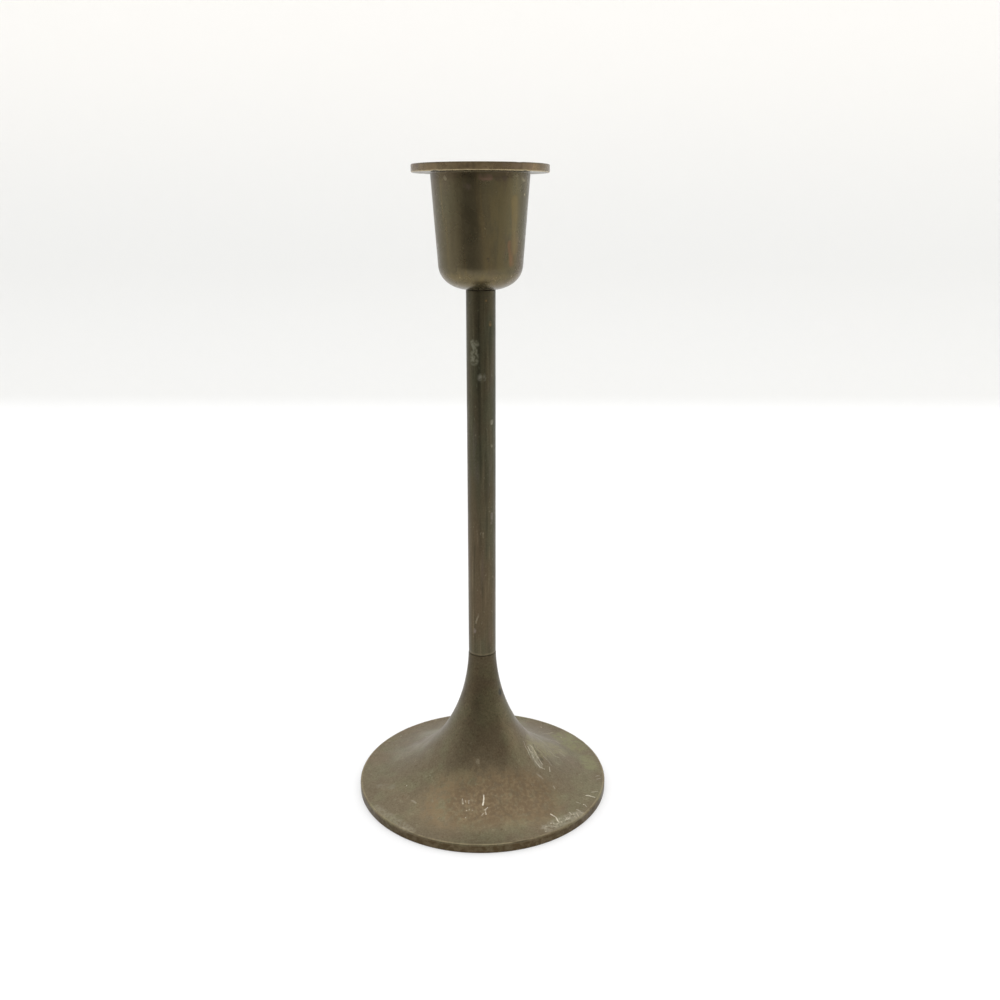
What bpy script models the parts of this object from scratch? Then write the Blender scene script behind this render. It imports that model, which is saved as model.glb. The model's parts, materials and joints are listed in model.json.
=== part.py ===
"""Taper candlestick: a cast foot, a tube stem and a flanged candle cup on one tie rod.

The foot is a trumpet that spreads into a disc, hollow underneath at an even wall. The stem is a
plain tube that stands on the foot's neck, and the cup sits on the tube. A threaded rod runs through
all three: it screws into the cup's floor, and a washer and a hex nut pull it tight against a flat
seat up inside the foot.

Sizes below are millimetres. The model is built in metres, +Z up, with its axis on Z and the foot
standing on Z = 0.
"""
import math

import bmesh
import bpy
import numpy as np
from mathutils import Vector
from mathutils.geometry import interpolate_bezier

MM = 0.001

# Tie rod, and the nut and washer that stand on its lower end inside the foot
ROD_RADIUS = 2.5
ROD_CHAMFER = 0.5
ROD_ABOVE_TABLE = 6.4
ROD_TAIL = 5.0
ROD_SINK = 0.5
NUT_SIDES = 6
NUT_THICKNESS = 4.0
NUT_WALL = 1.2
NUT_CHAMFER_DEG = 30.0
NUT_CHAMFER_INSET = 0.2
WASHER_THICKNESS = 1.0
WASHER_RING_WIDTH = 2.2

# Stem tube
STEM_WALL = 1.2
STEM_LENGTH = 104.6

# Foot
FOOT_RADIUS = 37.3
FOOT_EDGE = 2.7
FOOT_EDGE_ROUND = 0.5
FOOT_WALL = 2.3
FOOT_RING_WIDTH = 3.0
FOOT_RECESS = 0.6
NECK_HEIGHT = 43.1
NECK_STEP = 0.05
NECK_SPLAY_DEG = 2.0
TRUMPET_DROP = 22.7
TRUMPET_SPREAD = 18.2
NUT_SEAT_ROUND = 1.5

# Candle cup
CUP_HEIGHT = 31.7
CUP_MOUTH_RADIUS = 11.2
CUP_WALL = 1.85
CUP_TAPER_DEG = 4.25
CUP_FLOOR = 5.5
CUP_FLOOR_ROUND = 2.5
CUP_SEAT_LIP = 0.35
BELLY_HEIGHT = 6.35
BELLY_DROP = 4.9
BELLY_SPREAD = 1.8
BELLY_RISE_DEG = 5.0
FLANGE_WIDTH = 4.95
FLANGE_THICKNESS = 2.1

# Clearances and edge breaks
SEAT_GAP = 0.3
ROD_CLEARANCE = 0.3
EDGE_BREAK = 0.2

# Facets round a full turn
FOOT_STEPS = 72
CUP_STEPS = 60
STEM_STEPS = 48
ROD_STEPS = 32

# Points along a curve or an arc of an outline
TRUMPET_POINTS = 20
BELLY_POINTS = 10
ARC_STEPS = 4

# Headings in the (radius, height) plane, in degrees up from the outward radius
DOWNWARD_DEG = -90.0
INWARD_DEG = 180.0

# Edges that turn by more than this are shaded sharp, or take the rod's end chamfer
SHARP_EDGE_DEG = 30.0
CHAMFERED_EDGE_DEG = 60.0

# Points closer than this become one where a turned shape closes on itself
MERGE_DISTANCE = 0.01

# Radii that follow from the rod and from the foot
BORE_RADIUS = ROD_RADIUS + ROD_CLEARANCE
STEM_RADIUS = BORE_RADIUS + STEM_WALL
NECK_RADIUS = STEM_RADIUS + NECK_STEP
WASHER_RADIUS = BORE_RADIUS + WASHER_RING_WIDTH
NUT_FLAT_RADIUS = BORE_RADIUS + NUT_WALL
RING_INSIDE_RADIUS = FOOT_RADIUS - FOOT_RING_WIDTH

# Heights above the table, stacked up from the rod's lower end and from the neck
NUT_BASE = ROD_ABOVE_TABLE + ROD_TAIL
WASHER_BASE = NUT_BASE + NUT_THICKNESS + SEAT_GAP
NUT_SEAT_HEIGHT = WASHER_BASE + WASHER_THICKNESS + SEAT_GAP
STEM_BASE = NECK_HEIGHT + SEAT_GAP
CUP_BASE = STEM_BASE + STEM_LENGTH + SEAT_GAP
ROD_LENGTH = CUP_BASE + CUP_FLOOR - ROD_SINK - ROD_ABOVE_TABLE

# Each piece's colour as linear RGB, its roughness and its metallic value
FINISHES = {
    "foot": ((0.155, 0.130, 0.078), 0.48, 1.0),
    "stem_tube": ((0.068, 0.062, 0.038), 0.50, 1.0),
    "candle_cup": ((0.105, 0.084, 0.040), 0.42, 1.0),
    "tie_rod": ((0.36, 0.35, 0.32), 0.40, 1.0),
    "washer": ((0.42, 0.41, 0.38), 0.35, 1.0),
    "hex_nut": ((0.40, 0.39, 0.36), 0.38, 1.0),
}


def clear_scene():
    """Remove what is in the open file, so the model stands alone."""
    for item in list(bpy.data.objects):
        bpy.data.objects.remove(item, do_unlink=True)


def new_collection(name):
    """A collection linked to the scene."""
    collection = bpy.data.collections.new(name)
    bpy.context.scene.collection.children.link(collection)
    return collection


def paint(part):
    """Give a piece its own metal from the table of finishes."""
    colour, roughness, metallic = FINISHES[part.name]
    material = bpy.data.materials.new(part.name + "_metal")
    material.use_nodes = True
    shader = material.node_tree.nodes["Principled BSDF"]
    shader.inputs["Base Color"].default_value = (*colour, 1.0)
    shader.inputs["Roughness"].default_value = roughness
    shader.inputs["Metallic"].default_value = metallic
    part.data.materials.append(material)


def curve_between(start, start_heading, start_reach, end, end_heading, end_reach, count):
    """Points of one cubic curve in the (radius, height) plane.

    A heading is an angle in degrees from the outward radius, up positive, and points from the
    curve's end along its handle. A reach is that handle's length.
    """
    handles = []
    for point, heading, reach in ((start, start_heading, start_reach), (end, end_heading, end_reach)):
        angle = math.radians(heading)
        handles.append(Vector(point) + reach * Vector((math.cos(angle), math.sin(angle))))
    points = interpolate_bezier(Vector(start), handles[0], handles[1], Vector(end), count)
    return [(point.x, point.y) for point in points]


def arc_at_corner(before, corner, after, radius):
    """Points of the arc that rounds one corner of an outline; a mere edge break is a chamfer."""
    steps = ARC_STEPS if radius > EDGE_BREAK else 1
    corner = Vector(corner)
    towards_before = (Vector(before) - corner).normalized()
    towards_after = (Vector(after) - corner).normalized()
    half_angle = towards_before.angle(towards_after) / 2
    tangent_length = radius / math.tan(half_angle)
    centre = corner + (towards_before + towards_after).normalized() * radius / math.sin(half_angle)
    first = corner + towards_before * tangent_length - centre
    last = corner + towards_after * tangent_length - centre
    points = []
    for step in range(steps + 1):
        spoke = first.lerp(last, step / steps).normalized() * radius
        points.append(tuple(centre + spoke))
    return points


def rounded_outline(corners):
    """A closed outline from (radius, height, rounding) corners; a rounding of 0 stays sharp."""
    places = [(corner[0], corner[1]) for corner in corners]
    points = []
    for index, (radius, height, rounding) in enumerate(corners):
        if rounding:
            before = places[index - 1]
            after = places[(index + 1) % len(places)]
            points += arc_at_corner(before, (radius, height), after, rounding)
        else:
            points.append((radius, height))
    return points


def turned(name, outline, steps, collection):
    """A solid of revolution: a closed (radius, height) outline turned round Z."""
    mesh = bpy.data.meshes.new(name + "_outline")
    places = [(radius * MM, 0.0, height * MM) for radius, height in outline]
    edges = [(index, (index + 1) % len(places)) for index in range(len(places))]
    mesh.from_pydata(places, edges, [])
    draft = bpy.data.objects.new(name + "_outline", mesh)
    collection.objects.link(draft)
    screw = draft.modifiers.new("turn", "SCREW")
    screw.axis = "Z"
    screw.angle = 2 * math.pi
    screw.steps = steps
    screw.render_steps = steps
    screw.use_merge_vertices = True
    screw.merge_threshold = MERGE_DISTANCE * MM
    return finished(name, draft, collection)


def finished(name, draft, collection):
    """The draft with its modifiers applied, smooth between its sharp edges."""
    evaluated = draft.evaluated_get(bpy.context.evaluated_depsgraph_get())
    mesh = bpy.data.meshes.new_from_object(evaluated)
    mesh.name = name
    mesh.shade_smooth()
    mesh.set_sharp_from_angle(angle=math.radians(SHARP_EDGE_DEG))
    bpy.data.objects.remove(draft, do_unlink=True)
    part = bpy.data.objects.new(name, mesh)
    collection.objects.link(part)
    return part


def solid_cylinder(name, radius, height, vertices, collection):
    """A cylinder that stands on its own origin."""
    mesh = bpy.data.meshes.new(name)
    shape = bmesh.new()
    bmesh.ops.create_cone(
        shape,
        cap_ends=True,
        segments=vertices,
        radius1=radius * MM,
        radius2=radius * MM,
        depth=height * MM,
    )
    bmesh.ops.translate(shape, verts=shape.verts, vec=(0.0, 0.0, height * MM / 2))
    shape.to_mesh(mesh)
    shape.free()
    part = bpy.data.objects.new(name, mesh)
    collection.objects.link(part)
    return part


def as_cutter(part):
    """Hide a shape that only cuts another."""
    part.hide_render = True
    part.display_type = "WIRE"
    return part


def add_boolean(part, cutter, operation):
    """Cut a part with a cutter, or keep what they share."""
    modifier = part.modifiers.new(cutter.name, "BOOLEAN")
    modifier.operation = operation
    modifier.solver = "EXACT"
    modifier.object = cutter


def trumpet_curve():
    """The foot's upper side, from the neck's top edge down and out to the disc's edge."""
    return curve_between(
        (NECK_RADIUS, NECK_HEIGHT), DOWNWARD_DEG + NECK_SPLAY_DEG, TRUMPET_DROP,
        (FOOT_RADIUS, FOOT_EDGE), INWARD_DEG, TRUMPET_SPREAD, TRUMPET_POINTS,
    )


def hollow_curve():
    """The foot's inner wall, one wall inside the trumpet, from the resting ring up to the nut seat."""
    upper = np.array(trumpet_curve())
    along = np.diff(upper, axis=0)
    along /= np.linalg.norm(along, axis=1)[:, None]
    inward = np.stack([along[:, 1], -along[:, 0]], axis=1)
    wall = (upper[:-1] + upper[1:]) / 2 + FOOT_WALL * inward
    wall[:, 1] = np.maximum(wall[:, 1], FOOT_RECESS)
    ring_roof = np.interp(RING_INSIDE_RADIUS, wall[:, 0], wall[:, 1])
    seat_edge = np.interp(NUT_SEAT_HEIGHT, wall[::-1, 1], wall[::-1, 0])
    between = wall[(wall[:, 0] < RING_INSIDE_RADIUS) & (wall[:, 1] < NUT_SEAT_HEIGHT)]
    rising = [tuple(point) for point in between[::-1]]
    return [(RING_INSIDE_RADIUS, ring_roof)] + rising + [(seat_edge, NUT_SEAT_HEIGHT)]


def make_foot(collection):
    """The cast foot: trumpet, disc, resting ring, hollow underside, nut seat and bored neck."""
    upper = trumpet_curve()
    hollow = hollow_curve()
    corners = [(NECK_RADIUS, NECK_HEIGHT, EDGE_BREAK)]
    corners += [(radius, height, 0) for radius, height in upper[1:-1]]
    corners += [
        (FOOT_RADIUS, FOOT_EDGE, FOOT_EDGE_ROUND),
        (FOOT_RADIUS, 0, EDGE_BREAK),
        (RING_INSIDE_RADIUS, 0, EDGE_BREAK),
    ]
    corners += [(radius, height, 0) for radius, height in hollow[:-1]]
    corners += [
        (*hollow[-1], NUT_SEAT_ROUND),
        (BORE_RADIUS, NUT_SEAT_HEIGHT, 0),
        (BORE_RADIUS, NECK_HEIGHT, 0),
    ]
    return turned("foot", rounded_outline(corners), FOOT_STEPS, collection)


def make_stem_tube(collection):
    """The plain tube between the neck and the cup."""
    corners = [
        (STEM_RADIUS, STEM_LENGTH, EDGE_BREAK),
        (STEM_RADIUS, 0, EDGE_BREAK),
        (BORE_RADIUS, 0, 0),
        (BORE_RADIUS, STEM_LENGTH, 0),
    ]
    return turned("stem_tube", rounded_outline(corners), STEM_STEPS, collection)


def make_candle_cup(collection):
    """The turned cup: flange, tapered wall, round belly, flat seat for the tube and a tapped floor."""
    slope = math.tan(math.radians(CUP_TAPER_DEG))
    flange_underside = CUP_HEIGHT - FLANGE_THICKNESS
    wall_top = CUP_MOUTH_RADIUS + CUP_WALL
    flange_radius = wall_top + FLANGE_WIDTH
    floor_radius = CUP_MOUTH_RADIUS - slope * (CUP_HEIGHT - CUP_FLOOR)
    floor_round = min(CUP_FLOOR_ROUND, (floor_radius - BORE_RADIUS) / 2)
    belly = curve_between(
        (wall_top - slope * (flange_underside - BELLY_HEIGHT), BELLY_HEIGHT),
        DOWNWARD_DEG - CUP_TAPER_DEG, BELLY_DROP,
        (STEM_RADIUS + CUP_SEAT_LIP, 0), BELLY_RISE_DEG, BELLY_SPREAD, BELLY_POINTS,
    )
    corners = [
        (CUP_MOUTH_RADIUS, CUP_HEIGHT, EDGE_BREAK),
        (flange_radius, CUP_HEIGHT, EDGE_BREAK),
        (flange_radius, flange_underside, EDGE_BREAK),
        (wall_top, flange_underside, EDGE_BREAK),
    ]
    corners += [(radius, height, 0) for radius, height in belly]
    corners += [
        (BORE_RADIUS, 0, 0),
        (BORE_RADIUS, CUP_FLOOR, 0),
        (floor_radius, CUP_FLOOR, floor_round),
    ]
    return turned("candle_cup", rounded_outline(corners), CUP_STEPS, collection)


def make_tie_rod(collection):
    """The threaded rod, drawn at its outside diameter, with both ends chamfered."""
    draft = solid_cylinder("tie_rod_draft", ROD_RADIUS, ROD_LENGTH, ROD_STEPS, collection)
    bevel = draft.modifiers.new("end_chamfers", "BEVEL")
    bevel.width = ROD_CHAMFER * MM
    bevel.segments = 1
    bevel.limit_method = "ANGLE"
    bevel.angle_limit = math.radians(CHAMFERED_EDGE_DEG)
    return finished("tie_rod", draft, collection)


def make_washer(collection):
    """The flat washer between the nut and the seat inside the foot."""
    corners = [
        (WASHER_RADIUS, WASHER_THICKNESS, EDGE_BREAK),
        (WASHER_RADIUS, 0, EDGE_BREAK),
        (BORE_RADIUS, 0, 0),
        (BORE_RADIUS, WASHER_THICKNESS, 0),
    ]
    return turned("washer", rounded_outline(corners), STEM_STEPS, collection)


def make_hex_nut(collection, cutters):
    """The hexagon nut: six flats, 30 degree chamfers at both faces, and its hole."""
    corner_radius = NUT_FLAT_RADIUS / math.cos(math.pi / NUT_SIDES)
    face_radius = NUT_FLAT_RADIUS - NUT_CHAMFER_INSET
    chamfer_reach = corner_radius + EDGE_BREAK
    chamfer_drop = (chamfer_reach - face_radius) * math.tan(math.radians(NUT_CHAMFER_DEG))
    blank = solid_cylinder("hex_nut_draft", corner_radius, NUT_THICKNESS, NUT_SIDES, collection)
    barrel_outline = [
        (face_radius, NUT_THICKNESS),
        (chamfer_reach, NUT_THICKNESS - chamfer_drop),
        (chamfer_reach, chamfer_drop),
        (face_radius, 0),
        (BORE_RADIUS, 0),
        (BORE_RADIUS, NUT_THICKNESS),
    ]
    barrel = as_cutter(turned("hex_nut_chamfers", barrel_outline, STEM_STEPS, cutters))
    add_boolean(blank, barrel, "INTERSECT")
    return finished("hex_nut", blank, collection)


def seat_on(part, parent, parent_base, base):
    """Hang a part on its parent, at a height above the table."""
    part.parent = parent
    part.location.z = (base - parent_base) * MM


def build_candlestick():
    """Make every piece and stand it where it belongs."""
    clear_scene()
    pieces = new_collection("taper_candlestick")
    cutters = new_collection("cutters")

    foot = make_foot(pieces)
    stem_tube = make_stem_tube(pieces)
    candle_cup = make_candle_cup(pieces)
    tie_rod = make_tie_rod(pieces)
    washer = make_washer(pieces)
    hex_nut = make_hex_nut(pieces, cutters)
    for part in (foot, stem_tube, candle_cup, tie_rod, washer, hex_nut):
        paint(part)

    seat_on(tie_rod, foot, 0, ROD_ABOVE_TABLE)
    seat_on(stem_tube, foot, 0, STEM_BASE)
    seat_on(candle_cup, stem_tube, STEM_BASE, CUP_BASE)
    seat_on(washer, foot, 0, WASHER_BASE)
    seat_on(hex_nut, washer, WASHER_BASE, NUT_BASE)


build_candlestick()
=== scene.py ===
# %% [markdown]
# # A brass taper candlestick, dressed
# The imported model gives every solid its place. This lesson turns each of them again on a finer
# lathe, cuts the threads, lays an old patina on the brass and stands the candlestick on white
# paper. Everything is in metres, +Z up, with the candlestick's axis on Z and the table at Z = 0.

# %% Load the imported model
import json
import math

import bmesh
import bpy
import numpy as np
from mathutils import Matrix, Vector
from mathutils.geometry import interpolate_bezier


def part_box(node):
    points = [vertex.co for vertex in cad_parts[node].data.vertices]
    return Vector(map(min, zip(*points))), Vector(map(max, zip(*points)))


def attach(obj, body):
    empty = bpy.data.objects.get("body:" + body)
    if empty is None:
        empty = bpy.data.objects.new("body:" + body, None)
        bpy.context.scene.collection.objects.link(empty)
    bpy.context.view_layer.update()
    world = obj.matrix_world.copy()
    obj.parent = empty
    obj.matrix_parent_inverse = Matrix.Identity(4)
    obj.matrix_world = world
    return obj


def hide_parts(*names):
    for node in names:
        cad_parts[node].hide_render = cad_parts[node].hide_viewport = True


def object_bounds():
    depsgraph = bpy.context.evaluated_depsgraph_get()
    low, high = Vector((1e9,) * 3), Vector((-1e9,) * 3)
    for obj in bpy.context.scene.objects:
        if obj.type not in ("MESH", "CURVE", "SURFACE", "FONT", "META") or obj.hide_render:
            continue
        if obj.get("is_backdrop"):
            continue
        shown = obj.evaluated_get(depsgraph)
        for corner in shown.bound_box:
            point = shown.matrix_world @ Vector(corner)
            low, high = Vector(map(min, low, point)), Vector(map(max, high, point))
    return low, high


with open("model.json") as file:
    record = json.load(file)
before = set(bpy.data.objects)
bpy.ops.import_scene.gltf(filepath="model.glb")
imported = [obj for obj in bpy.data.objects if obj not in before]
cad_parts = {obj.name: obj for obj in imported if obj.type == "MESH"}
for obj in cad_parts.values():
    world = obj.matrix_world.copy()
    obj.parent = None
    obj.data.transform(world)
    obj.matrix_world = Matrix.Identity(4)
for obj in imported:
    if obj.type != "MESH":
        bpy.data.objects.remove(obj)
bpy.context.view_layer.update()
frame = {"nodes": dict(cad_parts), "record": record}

MM = 0.001
for name in sorted(frame["nodes"]):
    low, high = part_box(name)
    print(f"{name}: {2 * high.x / MM:.1f} mm across, from {low.z / MM:.1f} to {high.z / MM:.1f} mm")

# %% [markdown]
# ## Three helpers
# A node tree written out link by link takes hundreds of lines. One function that adds a node with
# its settings, and fills each input with a value or with what feeds it, keeps a tree readable:
# inputs go by name, or in order when they are given as a list. A second one opens an empty node
# group with named sockets. The third turns a colour as it looks on a screen, in sRGB, into the
# linear numbers that a shader counts with.

# %% Nodes, node groups and colours
def add_node(tree, kind, inputs=(), **settings):
    made = tree.nodes.new(kind)
    for setting, value in settings.items():
        setattr(made, setting, value)
    open_sockets = [socket for socket in made.inputs if socket.enabled]
    by_name = {socket.name: socket for socket in open_sockets}
    pairs = inputs.items() if isinstance(inputs, dict) else enumerate(inputs)
    for key, value in pairs:
        socket = by_name[key] if isinstance(key, str) else open_sockets[key]
        if isinstance(value, bpy.types.Node):
            value = next(output for output in value.outputs if output.enabled)
        if isinstance(value, bpy.types.NodeSocket):
            tree.links.new(value, socket)
        else:
            socket.default_value = value
    return made


def new_group(name, kind, inputs, output):
    """An empty node group with (name, type) sockets, and the sockets that bring its inputs in."""
    tree = bpy.data.node_groups.new(name, kind)
    for socket, value_type in inputs:
        tree.interface.new_socket(name=socket, in_out="INPUT", socket_type="NodeSocket" + value_type)
    tree.interface.new_socket(name=output[0], in_out="OUTPUT", socket_type="NodeSocket" + output[1])
    return tree, add_node(tree, "NodeGroupInput").outputs


def linear(code):
    channels = [int(code[i:i + 2], 16) / 255 for i in (1, 3, 5)]
    return [c / 12.92 if c <= 0.04045 else ((c + 0.055) / 1.055) ** 2.4 for c in channels] + [1.0]


print("mid grey on a screen, #808080, is", round(linear("#808080")[0], 3), "for a shader")

# %% [markdown]
# ## The camera
# The candlestick fills most of a square picture, seen from a little above: a wide lens, 27 cm in
# front of the axis and 17 cm above the table, tipped down by 16 degrees and held very nearly
# level. The lens is given as the focal length on a 36 mm wide sensor. An object is only seen once
# it is linked to the scene, so a helper makes and links each one from here on.

# %% Camera
CAMERA_PLACE = (5.2 * MM, -273.2 * MM, 168.8 * MM)
CAMERA_TIP_DEG = 16.16
CAMERA_ROLL_DEG = 0.061
CAMERA_LENS = 36.10
SENSOR_WIDTH = 36.0


def placed(name, data):
    made = bpy.data.objects.new(name, data)
    bpy.context.scene.collection.objects.link(made)
    return made


camera_data = bpy.data.cameras.new("camera")
camera_data.sensor_width = SENSOR_WIDTH
camera_data.lens = CAMERA_LENS
camera_data.clip_start = 10 * MM
camera_data.clip_end = 20.0
camera = placed("camera", camera_data)
bpy.context.scene.camera = camera
tip = Matrix.Rotation(math.radians(90 - CAMERA_TIP_DEG), 3, "X")
roll = Matrix.Rotation(math.radians(CAMERA_ROLL_DEG), 3, "Z")
camera.location = CAMERA_PLACE
camera.rotation_euler = (tip @ roll).to_euler()
print(f"camera {camera.location.length / MM:.0f} mm from the foot's centre")

# %% [markdown]
# ## The outlines
# Each brass piece was cast or turned round one axis, so its outline, a line of (radius, height)
# points, says all about its form. Two kinds of line are enough here: a cubic curve with a heading
# and a reach at each end, as for the trumpet of the foot, and a corner rounded by an arc. An edge
# that has been handled for decades is never sharp, so every corner gets a small round.

# %% Curves and rounded corners, in millimetres
def curve_between(start, start_heading, start_reach, end, end_heading, end_reach, count):
    handles = []
    for point, heading, reach in ((start, start_heading, start_reach), (end, end_heading, end_reach)):
        angle = math.radians(heading)
        handles.append(Vector(point) + reach * Vector((math.cos(angle), math.sin(angle))))
    points = interpolate_bezier(Vector(start), handles[0], handles[1], Vector(end), count)
    return [(point.x, point.y, 0) for point in points]


def rounded(corners, arc_steps=6):
    """A closed outline from (radius, height, rounding) corners; a rounding of 0 stays as it is."""
    outline = []
    for index, (radius, height, rounding) in enumerate(corners):
        corner = Vector((radius, height))
        if not rounding:
            outline.append(tuple(corner))
            continue
        before = (Vector(corners[index - 1][:2]) - corner).normalized()
        after = (Vector(corners[(index + 1) % len(corners)][:2]) - corner).normalized()
        half = before.angle(after) / 2
        centre = corner + (before + after).normalized() * rounding / math.sin(half)
        tangent = rounding / math.tan(half)
        first = corner + before * tangent - centre
        last = corner + after * tangent - centre
        for step in range(arc_steps + 1):
            outline.append(tuple(centre + first.lerp(last, step / arc_steps).normalized() * rounding))
    return outline


square = [(1, 0, 0.2), (2, 0, 0.2), (2, 1, 0.2), (1, 1, 0.2)]
print("a square with round corners takes", len(rounded(square)), "points")

# %% [markdown]
# ## The lathe
# All six pieces follow one rule, so one Geometry Nodes tree makes them. A flat grid gets a column
# for each point of the outline and a row for each step round the axis; every grid point takes the
# radius and height of its outline point and is swung round Z. The outline's "groove" attribute, in
# metres, says how deep a thread is cut there, and its "inside" attribute marks bores and hollows,
# so that a material can look different in them. This first part finds, for each point of the
# grid, its place on the outline and its angle round the axis.

# %% The turning tree: its inputs, and where each point belongs
LATHE, given = new_group(
    "lathe", "GeometryNodeTree",
    [
        ("Outline", "Geometry"), ("Steps", "Int"), ("Closed", "Int"), ("Waviness", "Float"),
        ("Wave Length", "Float"), ("Seed", "Float"), ("Flats", "Int"), ("Flat Radius", "Float"),
        ("Pitch", "Float"), ("Metal", "Material"),
    ],
    ("Piece", "Geometry"),
)
FULL_TURN = 2 * math.pi

counted = add_node(LATHE, "GeometryNodeAttributeDomainSize", [given["Outline"]])
columns = add_node(LATHE, "ShaderNodeMath", [counted, given["Closed"]], operation="ADD")
rows = add_node(LATHE, "ShaderNodeMath", [given["Steps"], 1], operation="ADD")
grid = add_node(LATHE, "GeometryNodeMeshGrid", {"Vertices X": columns, "Vertices Y": rows})

index = add_node(LATHE, "GeometryNodeInputIndex")
centred = add_node(LATHE, "ShaderNodeMath", [index, 0.5], operation="ADD")
in_columns = add_node(LATHE, "ShaderNodeMath", [centred, rows], operation="DIVIDE")
column = add_node(LATHE, "ShaderNodeMath", [in_columns], operation="FLOOR")
before = add_node(LATHE, "ShaderNodeMath", [column, rows], operation="MULTIPLY")
row = add_node(LATHE, "ShaderNodeMath", [index, before], operation="SUBTRACT")
source = add_node(LATHE, "ShaderNodeMath", [column, counted], operation="FLOORED_MODULO")
turned_share = add_node(LATHE, "ShaderNodeMath", [row, given["Steps"]], operation="DIVIDE")
angle = add_node(LATHE, "ShaderNodeMath", [turned_share, FULL_TURN], operation="MULTIPLY")

here = add_node(LATHE, "GeometryNodeInputPosition")
grooves = add_node(LATHE, "GeometryNodeInputNamedAttribute", ["groove"], data_type="FLOAT")
insides = add_node(LATHE, "GeometryNodeInputNamedAttribute", ["inside"], data_type="FLOAT")
sampled = {}
for label, kind, what in (
    ("place", "FLOAT_VECTOR", here), ("groove", "FLOAT", grooves), ("inside", "FLOAT", insides),
):
    sampled[label] = add_node(
        LATHE, "GeometryNodeSampleIndex",
        {"Geometry": given["Outline"], "Value": what, "Index": source}, data_type=kind,
    )
outline_at = add_node(LATHE, "ShaderNodeSeparateXYZ", [sampled["place"]]).outputs
print(f"{len(LATHE.nodes)} nodes lay out the grid")

# %% [markdown]
# ## The lathe: threads and flats
# A thread is a groove that climbs by one pitch a turn. The height in pitches, less the share of a
# turn, goes up and down like a zigzag, and that zigzag cuts the groove, with a little flat left at
# its crest and root. Flats cut the round down to a polygon: in the sector of a flat, the radius
# stops at the flat's distance divided by the cosine of the angle off its middle.

# %% The turning tree: threads and flats
FLANK_GAIN = 2.6
CREST_SHARE = 0.15

climbed = add_node(LATHE, "ShaderNodeMath", [outline_at["Z"], given["Pitch"]], operation="DIVIDE")
phase = add_node(LATHE, "ShaderNodeMath", [climbed, turned_share], operation="SUBTRACT")
ramp = add_node(LATHE, "ShaderNodeMath", [phase, 0.5], operation="PINGPONG")
steep = add_node(LATHE, "ShaderNodeMath", [ramp, FLANK_GAIN], operation="MULTIPLY")
flank = add_node(LATHE, "ShaderNodeMath", [steep, CREST_SHARE], operation="SUBTRACT", use_clamp=True)
cut = add_node(LATHE, "ShaderNodeMath", [flank, sampled["groove"]], operation="MULTIPLY")
threaded = add_node(LATHE, "ShaderNodeMath", [outline_at["X"], cut], operation="ADD")

sector = add_node(LATHE, "ShaderNodeMath", [FULL_TURN, given["Flats"]], operation="DIVIDE")
half_sector = add_node(LATHE, "ShaderNodeMath", [sector, 0.5], operation="MULTIPLY")
in_sector = add_node(LATHE, "ShaderNodeMath", [angle, sector], operation="FLOORED_MODULO")
off_middle = add_node(LATHE, "ShaderNodeMath", [in_sector, half_sector], operation="SUBTRACT")
cosine = add_node(LATHE, "ShaderNodeMath", [off_middle], operation="COSINE")
flat_reach = add_node(LATHE, "ShaderNodeMath", [given["Flat Radius"], cosine], operation="DIVIDE")
radius = add_node(LATHE, "ShaderNodeMath", [threaded, flat_reach], operation="MINIMUM")
print(f"{len(LATHE.nodes)} nodes with the thread and the flats")

# %% [markdown]
# ## The lathe: swing it round
# The points are swung to their places and the seam and the poles are merged shut. Waviness then
# pushes the skin in by a few hundredths of a millimetre. An old casting has that much, and it
# makes reflections wander. The tree ends in real geometry with its metal on it.

# %% The turning tree: one closed, slightly wavy skin
WELD = 0.001 * MM

upright = add_node(LATHE, "ShaderNodeCombineXYZ", {"X": radius, "Z": outline_at["Z"]})
swing = {"Vector": upright, "Angle": angle}
swung = add_node(LATHE, "ShaderNodeVectorRotate", swing, rotation_type="Z_AXIS")
turned = add_node(LATHE, "GeometryNodeSetPosition", {"Geometry": grid, "Position": swung})
marked = add_node(
    LATHE, "GeometryNodeStoreNamedAttribute",
    {"Geometry": turned, "Name": "inside", "Value": sampled["inside"]}, data_type="FLOAT",
)
closed = add_node(LATHE, "GeometryNodeMergeByDistance", {"Geometry": marked, "Distance": WELD})

per_metre = add_node(LATHE, "ShaderNodeMath", [1.0, given["Wave Length"]], operation="DIVIDE")
waves = add_node(
    LATHE, "ShaderNodeTexNoise",
    {"Vector": here, "W": given["Seed"], "Scale": per_metre, "Detail": 2.0}, noise_dimensions="4D",
)
inward = add_node(LATHE, "ShaderNodeMath", [waves, given["Waviness"]], operation="MULTIPLY")
pushed = add_node(LATHE, "ShaderNodeMath", [inward, -1.0], operation="MULTIPLY")
normal = add_node(LATHE, "GeometryNodeInputNormal")
shift = add_node(LATHE, "ShaderNodeVectorMath", {"Vector": normal, "Scale": pushed}, operation="SCALE")
worn = add_node(LATHE, "GeometryNodeSetPosition", {"Geometry": closed, "Offset": shift})
real = add_node(LATHE, "GeometryNodeRealizeInstances", [worn])
dressed = add_node(LATHE, "GeometryNodeSetMaterial", {"Geometry": real, "Material": given["Metal"]})
add_node(LATHE, "NodeGroupOutput", [dressed])
print(f"the lathe has {len(LATHE.nodes)} nodes")

# %% [markdown]
# ## Turning a piece
# The outline becomes a small mesh of points and edges. A modifier holds the lathe tree, its inputs
# are set by the identifiers of their sockets, and the result is kept as a plain mesh, so that
# nothing of the modifier is left.

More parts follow.
